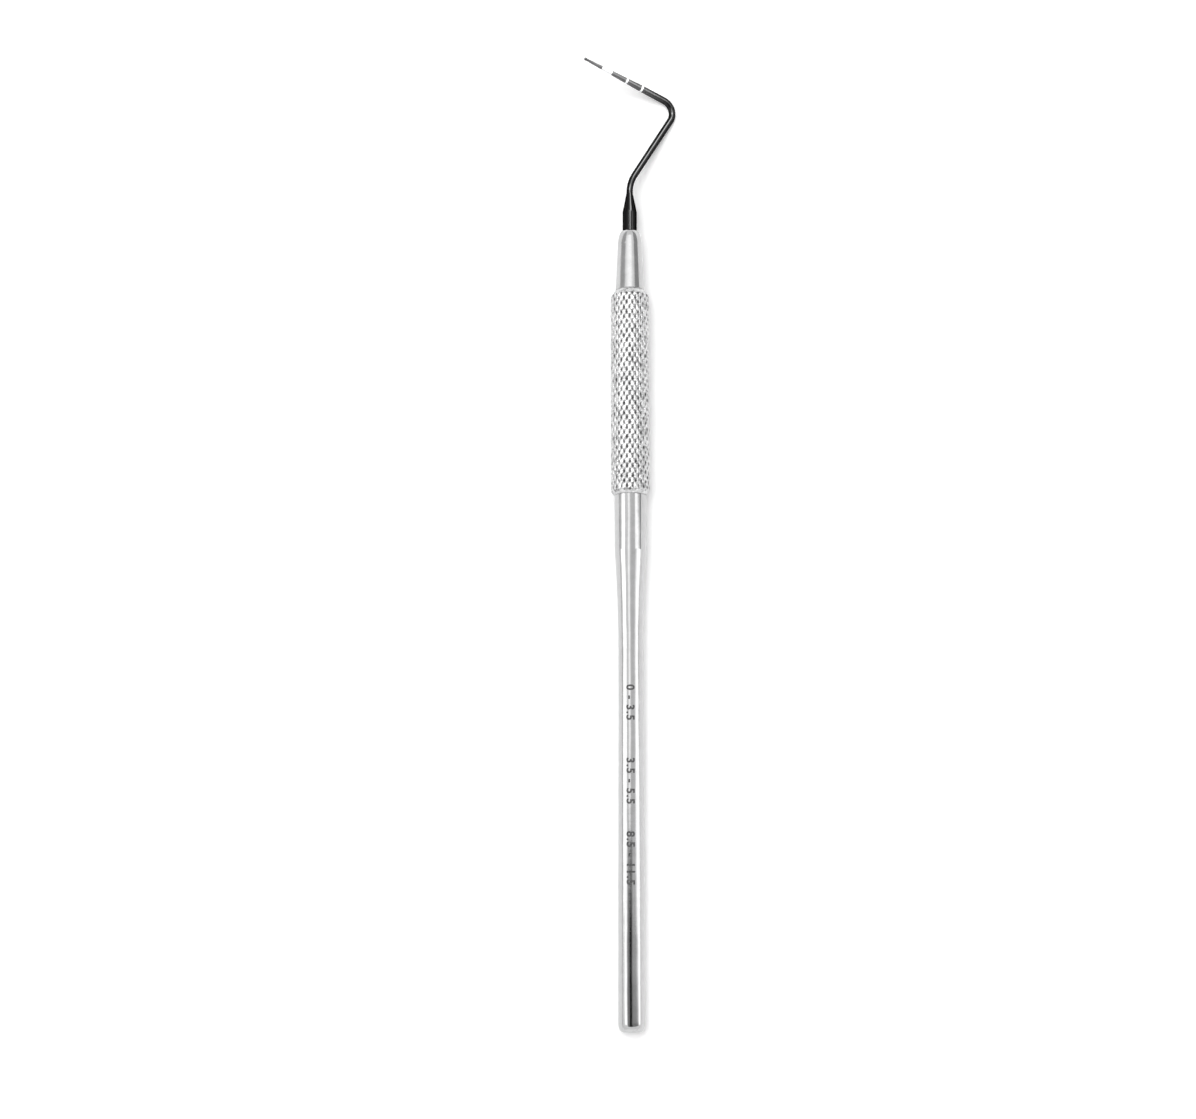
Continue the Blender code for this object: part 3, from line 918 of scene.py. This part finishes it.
def card(name, x_range, y_range, radiance, x_feather, y_feather, order):
    """A softly edged panel overhead that only reflections see.

    The numbers are millimetres: the panel's ends, and how far inside each end it fades in. A panel
    with a higher order hangs in front of the others.
    """
    low = (x_range[0] * MM, y_range[0] * MM + CARD_SHIFT)
    high = (x_range[1] * MM, y_range[1] * MM + CARD_SHIFT)
    item = plane(name, low, high, CARD_HEIGHT - order * MM)
    material = bpy.data.materials.new(name)
    material.use_nodes = True
    tree = material.node_tree
    tree.nodes.clear()
    position = tree.nodes.new("ShaderNodeSeparateXYZ")
    join(tree, tree.nodes.new("ShaderNodeTexCoord").outputs["Object"], position.inputs[0])
    mask = 1.0
    for axis, ends, feather in (("X", (low[0], high[0]), x_feather), ("Y", (low[1], high[1]), y_feather)):
        for end, inward, width in zip(ends, (1, -1), feather):
            edge = remapped(
                tree, position.outputs[axis], end, end + inward * width * MM, curve="SMOOTHSTEP"
            )
            mask = computed(tree, "MULTIPLY", mask, edge)
    glow = tree.nodes.new("ShaderNodeEmission")
    glow.inputs["Strength"].default_value = radiance
    clear = tree.nodes.new("ShaderNodeBsdfTransparent")
    mixed = tree.nodes.new("ShaderNodeMixShader")
    tree.links.new(mask, mixed.inputs[0])
    tree.links.new(clear.outputs[0], mixed.inputs[1])
    tree.links.new(glow.outputs[0], mixed.inputs[2])
    output = tree.nodes.new("ShaderNodeOutputMaterial")
    tree.links.new(mixed.outputs[0], output.inputs["Surface"])
    item.data.materials.append(material)
    item.visible_camera = False
    item.visible_diffuse = False
    item.visible_shadow = False
    item.visible_transmission = False


def glint(name, start, end, width, radiance, piece):
    """A long lamp overhead, between two points in millimetres, that shines on one piece alone."""
    first, last = (Vector((*point, 0.0)) * MM for point in (start, end))
    along = last - first
    lamp = bpy.data.lights.new(name, "AREA")
    lamp.shape = "RECTANGLE"
    lamp.size = along.length
    lamp.size_y = width * MM
    lamp.energy = radiance * pi * lamp.size * lamp.size_y
    item = bpy.data.objects.new(name, lamp)
    bpy.context.scene.collection.objects.link(item)
    item.location = (first + last) / 2 + Vector((0.0, 0.0, GLINT_HEIGHT))
    item.rotation_euler = (0.0, 0.0, atan2(along.y, along.x))
    item.visible_camera = False
    item.visible_diffuse = False
    lit = bpy.data.collections.new(name)
    lit.objects.link(piece)
    item.light_linking.receiver_collection = lit


def make_glints(wire, grip):
    """Thin highlights along the spine of the black wire, and light on the knurl's left and middle."""
    glint("grip_glint", (-900, 320), (160, 90), 200, 1.2, grip)
    glint("base_glint", (-55, 168), (75, 168), 36, 2.6, wire)
    glint("neck_glint", (-120, 228), (115, 228), 60, 28.0, wire)
    glint("cone_glint", (0, 262), (0, 520), 120, 1.8, wire)
    glint("shank_glint", (90, 340), (240, 600), 200, 22.0, wire)
    glint("elbow_glint", (120, 330), (0, 100), 150, 15.0, wire)
    glint("tip_glint", (330, -60), (560, 400), 240, 3.5, wire)


def make_cards():
    """Softboxes and darker panels overhead, which the polished steel mirrors."""
    card("ceiling", (-3000, 3000), (-2500, 2500), 0.94, (300, 300), (300, 300), 0)
    card("dim_middle", (-50, 360), (-60, 190), 0.73, (110, 110), (40, 60), 1)
    card("left_softbox", (-1700, -320), (-45, 190), 2.1, (500, 55), (50, 40), 2)
    card("left_low_softbox", (-850, -320), (-220, 0), 1.9, (200, 60), (60, 40), 3)
    card("slim_strip", (-175, 10), (-22, 150), 1.5, (60, 90), (5, 30), 4)
    card("right_softbox", (220, 2200), (-260, 160), 2.0, (380, 600), (60, 45), 5)
    card("right_near_softbox", (215, 800), (62, 140), 1.75, (80, 200), (20, 25), 6)
    card("back_panel", (-430, 250), (75, 420), 1.6, (400, 220), (100, 60), 7)
    card("rear_softbox", (-900, 900), (-1400, -900), 1.7, (300, 300), (120, 120), 8)
    card("dark_right", (280, 2600), (215, 1200), 0.36, (110, 300), (40, 200), 9)
    card("grip_shade", (340, 800), (148, 240), 0.08, (90, 160), (25, 30), 9.5)
    card("grip_far_shade", (640, 1700), (205, 330), 0.08, (140, 400), (45, 50), 9.8)
    card("dark_left", (-2600, -300), (240, 1200), 0.5, (300, 130), (60, 200), 10)
    card("dim_tail", (-300, 1100), (-330, 0), 0.25, (60, 700), (60, 100), 11)
    card("tail_shade", (-250, 100), (-330, -21), 0.25, (50, 70), (60, 5), 12)
    card("tail_dark", (-135, 45), (-300, -22), 0.01, (45, 40), (40, 30), 13)
    card("tail_spot", (-150, 90), (-290, -170), 0.01, (45, 40), (40, 30), 14)


def make_camera():
    """The photo's camera, nearly overhead."""
    data = bpy.data.cameras.new("camera")
    data.lens = CAMERA_LENS
    data.sensor_width = CAMERA_SENSOR
    data.clip_start = 0.01
    data.clip_end = 20.0
    item = bpy.data.objects.new("camera", data)
    bpy.context.scene.collection.objects.link(item)
    offset = Vector((0.0, -sin(CAMERA_TILT), cos(CAMERA_TILT))) * CAMERA_DISTANCE
    item.location = CAMERA_TARGET + offset
    item.rotation_euler = (CAMERA_TILT, 0.0, 0.0)
    bpy.context.scene.camera = item


def main():
    steel = polished_steel()
    make_tail_plug(steel)
    make_barrel(steel)
    make_nose(steel)
    grip = make_grip(knurled_steel())
    wire = make_working_end(black_coating(), ground_steel())
    make_legend(etched_numbers())
    make_floor()
    make_world()
    make_key_lamp()
    make_cards()
    make_glints(wire, grip)
    make_camera()
    bpy.context.scene.view_settings.view_transform = "Standard"
    bpy.context.view_layer.update()


main()
